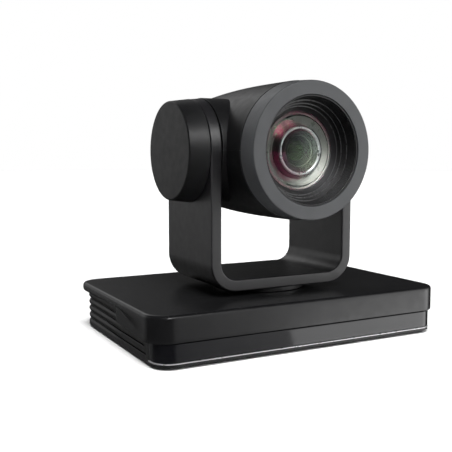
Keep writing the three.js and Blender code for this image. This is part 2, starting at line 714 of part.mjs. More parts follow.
const base = new THREE.Group();
piece(base, "lower_housing", lowerHousing(), blackPlastic);
piece(base, "bottom_plate", bottomPlate(), darkMetal);
piece(base, "top_cover", topCover(), blackPlastic);
piece(base, "ir_window", frontBand(0, 2.5, TRIM_TOP + GAP, SKIRT_BOTTOM - GAP), smokedPanel);
piece(base, "trim_strip", frontBand(0.25, 2.5, LIP_TOP + GAP, TRIM_TOP), brightTrim);
piece(base, "rear_panel", rearPanel(), darkMetal);
piece(base, "power_jack", roundSocket(SOCKETS.power_jack, 3, 1), blackPlastic);
piece(base, "network_port", squareSocket(SOCKETS.network_port, [6, 4.4]), steel);
const usbTongue = { w: 2.9, bottom: -1.6, top: 1.6 };
piece(base, "usb_port", squareSocket(SOCKETS.usb_port, [4.4, 4.2], usbTongue), steel);
const hdmiTongue = { w: 5.4, bottom: -0.6, top: 0.7 };
piece(base, "hdmi_port", squareSocket(SOCKETS.hdmi_port, [6.9, 2.3], hdmiTongue), steel);
piece(base, "serial_port_in", roundSocket(SOCKETS.serial_port_in, 4.6), blackPlastic);
piece(base, "serial_port_out", roundSocket(SOCKETS.serial_port_out, 4.6), blackPlastic);
piece(base, "audio_jack", roundSocket(SOCKETS.audio_jack, 1.8), blackPlastic);
piece(base, "main_board", mainBoard(), board);
piece(base, "ir_receiver_board", receiverBoard(), board);
piece(base, "tripod_insert", tripodInsert(), steel);
FEET.forEach(([x, y], i) => piece(base, `foot_${i + 1}`, foot(), rubber).position.set(x, y, 0));
LID_POSTS.forEach(([x, y], i) => piece(base, `base_screw_${i + 1}`, baseScrew(), steel).position.set(x, y, 0));
const panMotor = piece(base, "pan_motor", canMotor(17.5, 5, PAN_MOTOR_TOP, "Z", 8), steel);
panMotor.position.set(PAN_CENTRES, AXIS_Y, 0);
const bearing = tube(BEARING_RADIUS, SHAFT_RADIUS + GAP, 27.4, LID_TOP - LID_PLATE - GAP, "Z", MEDIUM);
piece(base, "pan_bearing", bearing, steel).position.set(0, AXIS_Y, 0);
ptzCamera.add(base);

const panDrive = new THREE.Group();
piece(panDrive, "pan_pinion", panPinion(), nylon);
panDrive.position.set(PAN_CENTRES, AXIS_Y, 0);
ptzCamera.add(panDrive);

const yoke = new THREE.Group();
yoke.position.set(0, AXIS_Y, 0);
piece(yoke, "yoke_frame", yokeFrame(), blackPlastic);
piece(yoke, "turntable_disc", turntableDisc(), matteBlack);
const panShaft = tube(SHAFT_RADIUS, SHAFT_RADIUS - 3, GEAR_BOTTOM - 1, YOKE_BOTTOM - GAP, "Z", MEDIUM);
piece(yoke, "pan_shaft", panShaft, steel);
piece(yoke, "pan_gear", panGear(), nylon);
ptzCamera.add(yoke);

const axis = new THREE.Group();
axis.position.z = TILT_HEIGHT;
yoke.add(axis);
const armBearing = (out) =>
  tube(ARM_BEARING_RADIUS, AXLE_RADIUS + GAP, out * (YOKE_INNER + GAP), out * (YOKE_HALF_WIDTH - GAP), "X", SMALL);
for (const [side, out] of [["left", -1], ["right", 1]]) {
  piece(axis, `drum_cap_${side}`, drumCap(out), blackPlastic);
  piece(axis, `tilt_bearing_${side}`, armBearing(out), steel);
}
const tiltMotor = piece(axis, "tilt_motor", canMotor(10, -TILT_MOTOR_TO, -TILT_MOTOR_FROM, "X", -70), steel);
tiltMotor.position.z = -TILT_CENTRES;
piece(axis, "tilt_pinion", tiltPinion(), nylon).position.z = -TILT_CENTRES;

const head = new THREE.Group();
axis.add(head);
const shells = headShells();
piece(head, "head_upper_shell", shells.intersect(box(-FAR, FAR, -FAR, FAR, SEAM, FAR)), blackPlastic);
piece(head, "head_lower_shell", headLowerShell(shells), blackPlastic);
piece(head, "front_bezel", frontBezel(), greyPlastic);
piece(head, "rear_cover", rearCover(), blackPlastic);
piece(head, "tilt_axle_left", tiltAxle(-1, 66.5), steel);
piece(head, "tilt_axle_right", tiltAxle(1, 64), steel);
piece(head, "tilt_gear", tiltGear(), nylon);
piece(head, "lens_hood", lensHood(), matteBlack);
piece(head, "front_lens", frontLens(), glass);
piece(head, "lens_cell", lensCell(), matteBlack);
piece(head, "retainer_ring", retainerRing(), steel);
piece(head, "second_lens", secondLens(), glass);
piece(head, "third_lens", thirdLens(), glass);
piece(head, "lens_housing", lensHousing(), darkMetal);
const sensorFront = HOUSING_END + GAP - FACE;
piece(head, "image_sensor", box(-9, 9, sensorFront, sensorFront + 2, -9, 9), smokedPanel);
const boardFront = sensorFront + 2 + GAP;
piece(head, "camera_board", box(-24, 24, boardFront, boardFront + 1.6, -24, 24), board);
for (const [side, out] of [["upper", 1], ["lower", -1]]) {
  const guide = rod(1, HOUSING_START + 1 - FACE, HOUSING_END - 4 - GAP - FACE, "Y", TINY);
  piece(head, `guide_rod_${side}`, guide, steel).position.z = out * ROD_OFFSET;
}
piece(head, "zoom_carrier", carrier(36, 43, 12), matteBlack);
piece(head, "zoom_lens", biconvexLens(39.5, 12, 3, 1.6), glass);
piece(head, "focus_carrier", carrier(72, 77, 9), matteBlack);
piece(head, "focus_lens", biconvexLens(74.5, 9, 2.4, 1.2), glass);

export default ptzCamera;
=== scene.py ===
"""Looks for a motorised pan-tilt-zoom camera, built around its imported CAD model.

Lengths are in millimetres until a mesh is made. The frame is the CAD's: +Z up, the lens
looks along -Y, and the origin is under the middle of the base.
"""

import json
import math

import bmesh
import bpy
from mathutils import Matrix, Vector


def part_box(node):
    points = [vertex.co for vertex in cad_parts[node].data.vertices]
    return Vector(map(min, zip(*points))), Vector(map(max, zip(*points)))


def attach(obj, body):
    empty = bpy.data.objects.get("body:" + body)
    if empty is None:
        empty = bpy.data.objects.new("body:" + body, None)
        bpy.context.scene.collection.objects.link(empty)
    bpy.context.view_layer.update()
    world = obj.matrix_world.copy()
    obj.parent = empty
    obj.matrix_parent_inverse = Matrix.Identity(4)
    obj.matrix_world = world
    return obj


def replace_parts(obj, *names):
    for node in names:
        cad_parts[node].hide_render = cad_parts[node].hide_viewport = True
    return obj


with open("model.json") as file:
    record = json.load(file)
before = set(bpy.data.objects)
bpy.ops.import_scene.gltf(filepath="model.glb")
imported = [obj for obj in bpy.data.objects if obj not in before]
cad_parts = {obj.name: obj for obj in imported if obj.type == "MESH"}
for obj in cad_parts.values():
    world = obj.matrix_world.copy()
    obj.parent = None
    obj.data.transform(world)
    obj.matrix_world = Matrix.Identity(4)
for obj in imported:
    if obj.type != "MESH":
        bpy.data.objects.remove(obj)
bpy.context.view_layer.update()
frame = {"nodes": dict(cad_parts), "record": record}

MM = 0.001
RECORD = frame["record"]
BODY_OF = {node: body for body, nodes in RECORD["behaviour"]["bodies"].items() for node in nodes}
SLOT_OF = {part["node"]: part["material_slot"] for part in RECORD["subparts"]}

# ---- Dimensions. The outer ones are the CAD's, and edges and blends are finer here ----

BASE_HALF, BASE_FRONT, BASE_REAR, BASE_CORNER = 121, -80, 80, 16
BODY_HALF, BODY_FRONT, BODY_REAR, BODY_CORNER = 117, -79.6, 75, 13
LID_TOP, LID_BOTTOM, LID_EDGE = 36, 33, 2.4
RIM_BOTTOM, RIM_WIDTH = 29, 8
SKIRT_BOTTOM, SKIRT_WALL, SKIRT_EDGE = 17.4, 3.7, 0.7
CHEEK_START, CHEEK_END, CHEEK_FOOT = -64, -2, 21
RIM_TIGHTENING = 40  # length over which the rim's curve becomes a plain round edge behind the cheek
SHAFT_HOLE = 10.5
FRONT_SPLIT, BAND_END = -63, -63.3
AXIS_Y, TILT_HEIGHT = -6, 140.8
PAN_AXIS = (0, AXIS_Y, 0)
TILT_AXIS = (0, AXIS_Y, TILT_HEIGHT)
YOKE_HALF_WIDTH, YOKE_HALF_DEPTH, YOKE_PLATE = 61.1, 37.9, 8.4
YOKE_BOTTOM, YOKE_BEND, YOKE_EYE_FLARE, YOKE_EDGE = 39.7, 21, 0.9, 1.1
YOKE_BORE = 9.3
TURNTABLE_HOLE, TURNTABLE_RADIUS, TURNTABLE_BOTTOM, TURNTABLE_TOP = 9.3, 36, 36.3, 39.4
CAP_START, CAP_END, CAP_WALL, CAP_EDGE = 61.4, 76.9, 2, 1.4
CAP_RADIUS, CAP_FLANGE = 36.2, 38
BARREL_RADIUS, BARREL_WIDEST = 49.7, -19
BARREL_FRONT, BARREL_REAR, SHELL_WALL = -58, 51.7, 2.5
DRUM_END, DRUM_RADIUS, DRUM_INSIDE = 52.3, 39.2, 36.7
AXLE_HOLE = 5.3
SEAM_HALF = 0.2
FACE = 74
RING_HOLE, RING_RADIUS, RING_REAR = 38.55, 48.3, -58.3
LENS_RADIUS = 28
THROUGH = 100  # reach of the cutters, past the part on both sides


# ---- Small sums ----

def smoothstep(x):
    x = min(max(x, 0.0), 1.0)
    return x * x * (3 - 2 * x)


def lerp(a, b, share):
    return a + (b - a) * share


def spread(start, end, steps):
    return [lerp(start, end, i / steps) for i in range(steps + 1)]


def merged(values, extra):
    """values with the extra ones that lie between their ends, in order."""
    inside = [v for v in extra if values[0] < v < values[-1]]
    return sorted({round(v, 5) for v in [*values, *inside]})


def arc(centre, radius, start, end, steps):
    """Points of an arc, angles in degrees from the first coordinate towards the second."""
    angles = [math.radians(a) for a in spread(start, end, steps)]
    return [(centre[0] + radius * math.cos(a), centre[1] + radius * math.sin(a)) for a in angles]


# ---- Meshes ----

def mesh_object(name, points, faces):
    """An object from points in millimetres, welded, with its faces turned outwards."""
    mesh = bpy.data.meshes.new(name)
    mesh.from_pydata([Vector(p) * MM for p in points], [], faces)
    work = bmesh.new()
    work.from_mesh(mesh)
    bmesh.ops.remove_doubles(work, verts=work.verts, dist=1e-6)
    bmesh.ops.dissolve_degenerate(work, edges=work.edges, dist=1e-7)
    bmesh.ops.recalc_face_normals(work, faces=work.faces)
    work.to_mesh(mesh)
    work.free()
    obj = bpy.data.objects.new(name, mesh)
    bpy.context.scene.collection.objects.link(obj)
    return obj


def rounded(outline, radius, steps=3):
    """A closed outline with its corners rounded, apart from those on the axis."""
    result = []
    for i, corner in enumerate(outline):
        here = Vector(corner)
        into = here - Vector(outline[i - 1])
        out = Vector(outline[(i + 1) % len(outline)]) - here
        straight = into.length < 1e-6 or out.length < 1e-6 or into.angle(out) < math.radians(20)
        if straight or here.x < 1e-6:
            result.append(tuple(here))
            continue
        reach = min(radius, 0.42 * into.length, 0.42 * out.length)
        first, last = here - into.normalized() * reach, here + out.normalized() * reach
        for t in spread(0, 1, steps):
            result.append(tuple(first * (1 - t) ** 2 + here * 2 * t * (1 - t) + last * t ** 2))
    return result


def turned(name, outline, axis, centre, sides=128):
    """A body of revolution about X, Y or Z through centre, from a closed (radius, along) outline."""
    across = {"X": (1, 2, 0), "Y": (0, 2, 1), "Z": (0, 1, 2)}[axis]
    rings = []
    for i in range(sides):
        angle = 2 * math.pi * i / sides
        ring = []
        for radius, along in outline:
            point = [0.0, 0.0, 0.0]
            point[across[0]] = radius * math.cos(angle)
            point[across[1]] = radius * math.sin(angle)
            point[across[2]] = along
            ring.append([p + c for p, c in zip(point, centre)])
        rings.append(ring)
    return loft(name, rings)


def rod(name, radius, axis, sides, reach=THROUGH):
    """A round bar through the tilt axis, to cut with."""
    outline = [(0, -reach), (radius, -reach), (radius, reach), (0, reach)]
    return turned(name, outline, axis, TILT_AXIS, sides)


def loft(name, rings, closed=True, capped=False, skipped=()):
    """A skin through a row of closed rings of points. skipped holds (ring, point) cells left open."""
    count = len(rings[0])
    faces = []
    for i in range(len(rings) if closed else len(rings) - 1):
        a, b = i * count, (i + 1) % len(rings) * count
        for j in range(count):
            if (i, j) not in skipped:
                k = (j + 1) % count
                faces.append((a + j, a + k, b + k, b + j))
    if capped:
        last = (len(rings) - 1) * count
        faces += [tuple(range(count)), tuple(range(last, last + count))]
    return mesh_object(name, [p for ring in rings for p in ring], faces)


def block(name, low, high):
    xs, ys, zs = zip(low, high)
    corners = [(x, y, z) for x in xs for y in ys for z in zs]
    faces = [(0, 1, 3, 2), (4, 6, 7, 5), (0, 4, 5, 1), (2, 3, 7, 6), (0, 2, 6, 4), (1, 5, 7, 3)]
    return mesh_object(name, corners, faces)


def combined(obj, other, operation):
    """obj joined with, cut by or kept inside other, which is used up."""
    modifier = obj.modifiers.new("Combine", "BOOLEAN")
    modifier.operation, modifier.object, modifier.solver = operation, other, "EXACT"
    graph = bpy.context.evaluated_depsgraph_get()
    mesh = bpy.data.meshes.new_from_object(obj.evaluated_get(graph))
    obj.modifiers.clear()
    obj.data = mesh
    bpy.data.objects.remove(other)
    return obj


def copy_of(obj, name):
    twin = bpy.data.objects.new(name, obj.data.copy())
    bpy.context.scene.collection.objects.link(twin)
    return twin


def shade(obj, crease=30):
    """Smooth shading that breaks at edges sharper than crease degrees."""
    obj.data.polygons.foreach_set("use_smooth", [True] * len(obj.data.polygons))
    obj.data.set_sharp_from_angle(angle=math.radians(crease))
    normals = obj.modifiers.new("Normals", "WEIGHTED_NORMAL")
    normals.keep_sharp = True


def wear(obj, body, slot):
    """Puts a new piece on a body, with the look of a material slot."""
    obj.data.materials.clear()
    obj.data.materials.append(LOOKS[slot])
    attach(obj, body)
    return obj


def stand_for(obj, node, crease=30, material=None):
    """Makes a fine mesh stand for a CAD node, in its slot's look or in one of its own."""
    shade(obj, crease)
    wear(obj, BODY_OF[node], SLOT_OF[node])
    if material:
        obj.data.materials[0] = material
    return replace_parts(obj, node)


# ---- Base ----

def plan(half, front, rear, corner, x_breaks=(), y_breaks=(), step=4.0, corner_steps=12):
    """(x, y, outward x, outward y) round a rounded rectangle, from the left end of its rear side,
    forward along the left side, across the front and back along the right side."""
    inner = half - corner
    xs = merged(spread(-inner, inner, round(2 * inner / step)), x_breaks)
    low, high = front + corner, rear - corner
    ys = merged(spread(low, high, round((high - low) / step)), y_breaks)

    def turn(cx, cy, start):
        ring = arc((0, 0), 1, start, start + 90, corner_steps)[1:-1]
        return [(cx + corner * x, cy + corner * y, x, y) for x, y in ring]

    left = [(-half, y, -1, 0) for y in reversed(ys)]
    right = [(half, y, 1, 0) for y in ys]
    front_side = [(x, front, 0, -1) for x in xs]
    rear_side = [(x, rear, 0, 1) for x in reversed(xs)]
    return [
        *turn(-inner, high, 90), *left, *turn(-inner, low, 180), *front_side,
        *turn(inner, low, 270), *right, *turn(inner, high, 0), *rear_side,
    ]


def outset(station, amount, height):
    x, y, out_x, out_y = station
    return (x + out_x * amount, y + out_y * amount, height)


def lid_section(y, cheek):
    """(outset, height) round the lid's section. Where cheek is true the skirt hangs from it,
    thinning along the sides from full at the front corner to nothing."""
    fade = min(max((y - CHEEK_START) / (CHEEK_END - CHEEK_START), 0), 1)
    inset = SKIRT_WALL * fade if cheek else SKIRT_WALL
    plate_inset, edge_support = 12, LID_EDGE + 1
    edge_arc = arc((-LID_EDGE, LID_TOP - LID_EDGE), LID_EDGE, 90, 0, 7)
    top = [(-plate_inset, LID_TOP), (-edge_support, LID_TOP), *edge_arc]
    shoulder = RIM_BOTTOM + LID_EDGE
    foot = lerp(CHEEK_FOOT, RIM_BOTTOM, smoothstep(fade)) if cheek else RIM_BOTTOM
    flow = [(-inset * smoothstep(t), lerp(shoulder, foot, t)) for t in spread(0, 1, 9)]
    if cheek:
        edge = SKIRT_EDGE * min(1, (SKIRT_WALL - inset) / (2 * SKIRT_EDGE))
        hem = [(-inset, SKIRT_BOTTOM + edge), (-inset - 0.3 * edge, SKIRT_BOTTOM + 0.3 * edge),
               (-inset - edge, SKIRT_BOTTOM), (-SKIRT_WALL, SKIRT_BOTTOM), (-SKIRT_WALL, RIM_BOTTOM)]
    else:
        tight = smoothstep((y - CHEEK_END) / RIM_TIGHTENING)
        roll = arc((-LID_EDGE, shoulder), LID_EDGE, 0, -90, 9)
        flow = [(lerp(a, c, tight), lerp(b, d, tight)) for (a, b), (c, d) in zip(flow, roll)]
        hem = [(-SKIRT_WALL - 0.1 * i, RIM_BOTTOM) for i in range(5)]
    return [*top, *flow, *hem, (-RIM_WIDTH, RIM_BOTTOM), (-RIM_WIDTH, LID_BOTTOM)]


def variants_at(station, split):
    """Whether the section at a station is the one in front of the split along Y. At the split itself
    it is both, in the order in which the outline passes them."""
    x, y = station[:2]
    if abs(y - split) < 1e-3:
        return [False, True] if x < 0 else [True, False]
    return [y < split]


def make_top_cover():
    """The lid: a plate with a rim round it, a deep skirt at the front and a hole for the pan shaft."""
    rings = []
    for station in plan(BASE_HALF, BASE_FRONT, BASE_REAR, BASE_CORNER, y_breaks=(CHEEK_END,)):
        x, y = station[:2]
        angle = math.atan2(y - AXIS_Y, x)
        hole_x, hole_y = SHAFT_HOLE * math.cos(angle), AXIS_Y + SHAFT_HOLE * math.sin(angle)
        hole = [(hole_x, hole_y, z) for z in (LID_BOTTOM, LID_TOP)]
        for cheek in variants_at(station, CHEEK_END):
            rings.append([outset(station, *p) for p in lid_section(y, cheek)] + hole)
    stand_for(loft("lid", rings), "top_cover", crease=40, material=lid_plastic())


GROOVES = [(7.2, -61), (12.55, -58), (17.9, -5), (23.25, 0)]  # height, and where it starts along Y
GROOVE_OFFSETS = (0.12, 0.4, 0.56, 0.75, 1.1, 1.5, 1.9, 2.3)  # heights of mesh lines round each groove
GROOVE_HALF, GROOVE_SLOPE, GROOVE_DEPTH, GROOVE_RUN_IN = 0.4, 0.2, 1.6, 9
RIB_SLOPE, RIB_DEPTH, RIB_START, RIB_RUN_IN = 1.95, 0.95, -24, 62
REAR_GROOVE_END, REAR_GROOVE_RUN_IN = 93, 6
REAR_OPENING_HALF, REAR_OPENING_BOTTOM, REAR_OPENING_TOP = 80, 8, 26
BODY_BOTTOM, LIP_TOP, LEDGE_BOTTOM, LEDGE_TOP, BODY_TOP = 2, 3.5, 4.3, 6.3, 28.7
BODY_WALL, LIP_WALL, LEDGE_REACH, WINDOW_RECESS = 3, 4.6, 9, 2.8


def groove_depth(x, y, z):
    """How far the housing's side is cut in: thin grooves, which spread to rounded ribs at the rear."""
    at_rear = y > BODY_REAR - 1
    ends = smoothstep((abs(x) - REAR_GROOVE_END) / REAR_GROOVE_RUN_IN) if at_rear else 1
    depth = 0.0
    for height, start in GROOVES:
        away = abs(z - height) - GROOVE_HALF
        thin = GROOVE_DEPTH * smoothstep((y - start) / GROOVE_RUN_IN) * (1 - smoothstep(away / GROOVE_SLOPE))
        wide = RIB_DEPTH * smoothstep((y - RIB_START) / RIB_RUN_IN) * (1 - smoothstep(away / RIB_SLOPE))
        depth = max(depth, thin, wide)
    return depth * ends


def housing_levels():
    """Heights of the mesh lines round the housing, close together at the grooves and edges."""
    near = [groove[0] + s * d for groove in GROOVES for d in GROOVE_OFFSETS for s in (-1, 1)]
    edge = 0.5
    fixed = [BODY_BOTTOM + edge, LIP_TOP, LEDGE_TOP, REAR_OPENING_BOTTOM, REAR_OPENING_TOP, BODY_TOP - edge]
    return merged([BODY_BOTTOM, BODY_TOP], near + fixed)


def housing_section(x, y, is_front, levels):
    """(outset, height) round the housing's wall: up outside, down inside and round the ledge."""
    inner_levels = [z for z in reversed(levels) if z >= LEDGE_TOP]
    if is_front:
        outer = [(0 if z <= LIP_TOP else -WINDOW_RECESS, min(z, LEDGE_TOP)) for z in levels]
        inner = [(-BODY_WALL, LEDGE_TOP)] * len(inner_levels)
    else:
        outer = [(-groove_depth(x, y, z), z) for z in levels]
        inner = [(-BODY_WALL, z) for z in inner_levels]
    ledge = [(-LEDGE_REACH, LEDGE_TOP), (-LEDGE_REACH, LEDGE_BOTTOM), (-LIP_WALL, LEDGE_BOTTOM),
             (-LIP_WALL, BODY_BOTTOM)]
    return outer + inner + ledge


def rear_opening_cells(levels):
    """Indices of the section's cells that the hole through the rear wall takes, outside and inside."""
    down = [z for z in reversed(levels) if z >= LEDGE_TOP]
    outside = range(levels.index(REAR_OPENING_BOTTOM), levels.index(REAR_OPENING_TOP))
    inside = range(len(levels) + down.index(REAR_OPENING_TOP), len(levels) + down.index(REAR_OPENING_BOTTOM))
    return [*outside, *inside]


def make_lower_housing():
    """Side and rear walls with cooling grooves, an opening for the sockets, and a lip at the front."""
    levels = housing_levels()
    stations = plan(BODY_HALF, BODY_FRONT, BODY_REAR, BODY_CORNER, y_breaks=(FRONT_SPLIT,),
                    x_breaks=(-REAR_OPENING_HALF, REAR_OPENING_HALF), step=3.0)
    rings = []
    opened = []
    for station in stations:
        x, y = station[:2]
        for is_front in variants_at(station, FRONT_SPLIT):
            if y > BODY_REAR - 1 and -REAR_OPENING_HALF < x <= REAR_OPENING_HALF:
                opened.append(len(rings))
            rings.append([outset(station, *p) for p in housing_section(x, y, is_front, levels)])
    skipped = {(ring, cell) for ring in opened for cell in rear_opening_cells(levels)}
    obj = loft("housing", rings, skipped=skipped)
    close_opening(obj)
    stand_for(obj, "lower_housing", crease=50)


def close_opening(obj):
    """Joins the two open edges of the hole through the rear wall."""
    work = bmesh.new()
    work.from_mesh(obj.data)
    edges = [edge for edge in work.edges if edge.is_boundary]
    bmesh.ops.bridge_loops(work, edges=edges)
    bmesh.ops.recalc_face_normals(work, faces=work.faces)
    work.to_mesh(obj.data)
    work.free()


def make_front_band(name, node, proud, bottom, top, edge):
    """A band with soft edges that follows the housing's front and both front corners."""
    thickness = 2.5
    outer = proud + thickness
    section = rounded([(0, bottom), (outer, bottom), (outer, top), (0, top)], edge)
    section = [(r - thickness, z) for r, z in section]
    stations = plan(BODY_HALF, BODY_FRONT, BODY_REAR, BODY_CORNER, y_breaks=(BAND_END,))
    rings = [[outset(s, *p) for p in section] for s in stations if s[1] <= BAND_END + 1e-3]
    stand_for(loft(name, rings, closed=False, capped=True), node)


def make_feet():
    """Round pads with three rings cut into their underside for grip."""
    foot_radius, height = 9, 2.6
    cut_half, cut_depth = 0.4, 0.35
    cuts = []
    for radius in (3.2, 5.2, 7.2):
        cuts += [(radius - cut_half, 0), (radius, cut_depth), (radius + cut_half, 0)]
    outline = rounded([(0, 0), *cuts, (foot_radius, 0), (foot_radius, height), (0, height)], 0.5)
    for number in range(1, 5):
        node = f"foot_{number}"
        low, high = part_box(node)
        centre = ((low.x + high.x) / 2 / MM, (low.y + high.y) / 2 / MM, 0)
        stand_for(turned(f"rubber_foot_{number}", outline, "Z", centre, 64), node)


# ---- Yoke ----

def yoke_point(place, side, inset, depth):
    """A point of the bent plate. place is ("cap", arm, angle), ("arm", arm, height), ("bend", arm,
    angle) or ("floor", x). side is -1 at the front and 1 at the rear, inset is measured in from the
    plate's edge, and depth through it from its outer face."""
    kind = place[0]
    flare = YOKE_HALF_DEPTH + YOKE_EYE_FLARE * depth / YOKE_PLATE
    reach = YOKE_HALF_DEPTH - inset
    if kind == "cap":
        arm, angle = place[1:]
        radius = flare - inset
        x = arm * (YOKE_HALF_WIDTH - depth)
        return (x, AXIS_Y + side * radius * math.cos(angle), TILT_HEIGHT + radius * math.sin(angle))
    if kind == "arm":
        arm, height = place[1:]
        below = TILT_HEIGHT - height
        if below < flare:
            reach = max(reach, math.sqrt(flare ** 2 - below ** 2) - inset)
        return (arm * (YOKE_HALF_WIDTH - depth), AXIS_Y + side * reach, height)
    if kind == "bend":
        arm, angle = place[1:]
        radius = YOKE_BEND - depth
        x = arm * (YOKE_HALF_WIDTH - YOKE_BEND + radius * math.cos(angle))
        return (x, AXIS_Y + side * reach, YOKE_BOTTOM + YOKE_BEND - radius * math.sin(angle))
    return (place[1], AXIS_Y + side * reach, YOKE_BOTTOM + depth)


def yoke_places():
    """Places along the bent plate, from the top of the left arm to the top of the right one."""
    half = [("cap", -1, math.radians(a)) for a in spread(90, 0, 30)]
    eye = [TILT_HEIGHT - d for d in (0.7, 1.5, 2.5, 3.5, 5, 6.5, 8, 9.5)]
    half += [("arm", -1, z) for z in eye + spread(TILT_HEIGHT - 12, YOKE_BOTTOM + YOKE_BEND, 12)]
    half += [("bend", -1, math.radians(a)) for a in spread(0, 90, 20)[1:]]
    floor = YOKE_HALF_WIDTH - YOKE_BEND
    other = [(p[0], 1, p[2]) for p in reversed(half)]
    return half + [("floor", x) for x in spread(-floor, floor, 12)[1:-1]] + other


def make_yoke_frame():
    """The bent plate, from a section with rounded edges swept along it, with a bore through both arms."""
    edge = YOKE_EDGE
    support = edge + 1.5
    outer = [(edge - x, edge - y) for x, y in arc((0, 0), edge, 90, 0, 5)]
    inner = [(inset, YOKE_PLATE - depth) for inset, depth in reversed(outer)]
    section = [(support, 0), *outer, *inner, (support, YOKE_PLATE)]
    rings = []
    for place in yoke_places():
        front = [yoke_point(place, -1, *p) for p in section]
        rear = [yoke_point(place, 1, *p) for p in reversed(section)]
        rings.append(front + rear)
    obj = loft("yoke", rings, closed=False)
    past_arms = 70
    bore = rod("yoke_bore", YOKE_BORE, "X", 64, past_arms)
    stand_for(combined(obj, bore, "DIFFERENCE"), "yoke_frame", material=yoke_paint())


def make_turntable():
    outline = rounded([
        (TURNTABLE_HOLE, TURNTABLE_BOTTOM), (TURNTABLE_RADIUS, TURNTABLE_BOTTOM),
        (TURNTABLE_RADIUS, TURNTABLE_TOP), (TURNTABLE_HOLE, TURNTABLE_TOP),
    ], 0.5)
    stand_for(turned("turntable", outline, "Z", PAN_AXIS), "turntable_disc")


def make_drum_cap(out, side):
    """A hollow round cover on an arm's outer face. out is -1 for the left and 1 for the right."""
    chamfer = 0.3
    floor = CAP_END - CAP_WALL
    outline = [
        (CAP_FLANGE - 2.5, CAP_START), (CAP_FLANGE - chamfer, CAP_START), (CAP_FLANGE, CAP_START + chamfer),
        *arc((CAP_RADIUS - CAP_EDGE, CAP_END - CAP_EDGE), CAP_EDGE, 0, 90, 8),
        (0, CAP_END), (0, floor), (CAP_RADIUS - 2.5, floor),
    ]
    obj = turned(f"cap_{side}", [(r, out * along) for r, along in outline], "X", TILT_AXIS)
    stand_for(obj, f"drum_cap_{side}")


# ---- Head ----

def barrel_radius(y):
    """The barrel narrows from its widest place, strongly towards the rear and a little to the front."""
    behind = max(y - BARREL_WIDEST, 0) / 85
    ahead = max(BARREL_WIDEST - y, 0) / 55
    return BARREL_RADIUS - 4.4 * behind ** 2 - 0.5 * ahead ** 2


def barrel_side(start, end, steps, inset=0.0):
    return [(barrel_radius(y) - inset, y) for y in spread(start, end, steps)]


def make_barrel():
    start, end = BARREL_FRONT, BARREL_REAR
    side = barrel_side(start, end, 40)
    first, last = side[0][0], side[-1][0]
    return turned("barrel", [
        (0, start), (first - 0.5, start), (first, start + 0.4), *side[1:-1],
        (last, end - 0.3), (last - 0.3, end), (0, end),
    ], "Y", TILT_AXIS)


def make_barrel_bore():
    """What is cut from the barrel to leave its wall."""
    return turned("bore", [
        (0, -THROUGH), (barrel_radius(BARREL_FRONT) - SHELL_WALL, -THROUGH),
        *barrel_side(BARREL_FRONT, BARREL_REAR, 12, SHELL_WALL),
        (barrel_radius(BARREL_REAR) - SHELL_WALL, THROUGH), (0, THROUGH),
    ], "Y", TILT_AXIS, 96)


def make_head_shells():
    """The barrel joined with the cross drum, hollow, and parted at the height of the tilt axis."""
    drum_outline = [(0, -DRUM_END), (DRUM_RADIUS, -DRUM_END), (DRUM_RADIUS, DRUM_END), (0, DRUM_END)]
    drum = turned("drum", rounded(drum_outline, 0.7), "X", TILT_AXIS)
    hollow = rod("hollow", DRUM_INSIDE, "X", 96, DRUM_END - SHELL_WALL)
    shell = combined(make_barrel(), drum, "UNION")
    for cutter in (make_barrel_bore(), hollow, rod("axle_hole", AXLE_HOLE, "X", 48)):
        shell = combined(shell, cutter, "DIFFERENCE")
    lower = copy_of(shell, "lower_shell")
    shell.name = "upper_shell"
    far = THROUGH
    above = block("above", (-far, -far, TILT_HEIGHT + SEAM_HALF), (far, far, TILT_HEIGHT + far))
    below = block("below", (-far, -far, TILT_HEIGHT - far), (far, far, TILT_HEIGHT - SEAM_HALF))
    stand_for(combined(shell, above, "INTERSECT"), "head_upper_shell")
    stand_for(combined(lower, below, "INTERSECT"), "head_lower_shell")


def make_front_bezel():
    rear_radius = barrel_radius(BARREL_FRONT) - 0.2
    inner_edge, outer_edge, chamfer = 0.5, 0.9, 0.3
    outline = [
        (RING_HOLE, -FACE + inner_edge),
        *arc((RING_HOLE + inner_edge, -FACE + inner_edge), inner_edge, 180, 270, 3)[1:],
        *arc((RING_RADIUS - outer_edge, -FACE + outer_edge), outer_edge, -90, 0, 6),
        (rear_radius, RING_REAR - chamfer), (rear_radius - chamfer, RING_REAR),
        (rear_radius - SHELL_WALL, RING_REAR), (rear_radius - 3.5, -FACE + 9), (RING_HOLE, -FACE + 8),
    ]
    stand_for(turned("ring", outline, "Y", TILT_AXIS, 160), "front_bezel")


def make_rear_cover():
    start, end, corner, chamfer = 52, 68, 9, 0.3
    flat = barrel_radius(end - corner) - corner
    side = barrel_side(start, end - corner, 6)
    rim = side[0][0]
    outline = [
        (rim - chamfer, start), (rim, start + chamfer), *side[1:],
        *arc((flat, end - corner), corner, 8, 90, 12), (0, end), (0, end - SHELL_WALL),
        *arc((flat, end - corner), corner - SHELL_WALL, 90, 8, 8), (rim - SHELL_WALL, start),
    ]
    stand_for(turned("back", outline, "Y", TILT_AXIS), "rear_cover")


# ---- Lens: outlines are (radius, depth behind the ring's face) ----

def lens_part(name, node, outline, sides=128):
    obj = turned(name, [(radius, depth - FACE) for radius, depth in outline], "Y", TILT_AXIS, sides)
    stand_for(obj, node)
    return obj


def dome(vertex, rise, radius, steps):
    """A shallow spherical surface from its middle out to a radius."""
    sphere = (radius ** 2 + rise ** 2) / (2 * rise)
    return [(r, vertex + sphere - math.sqrt(sphere ** 2 - r ** 2)) for r in spread(0, radius, steps)]


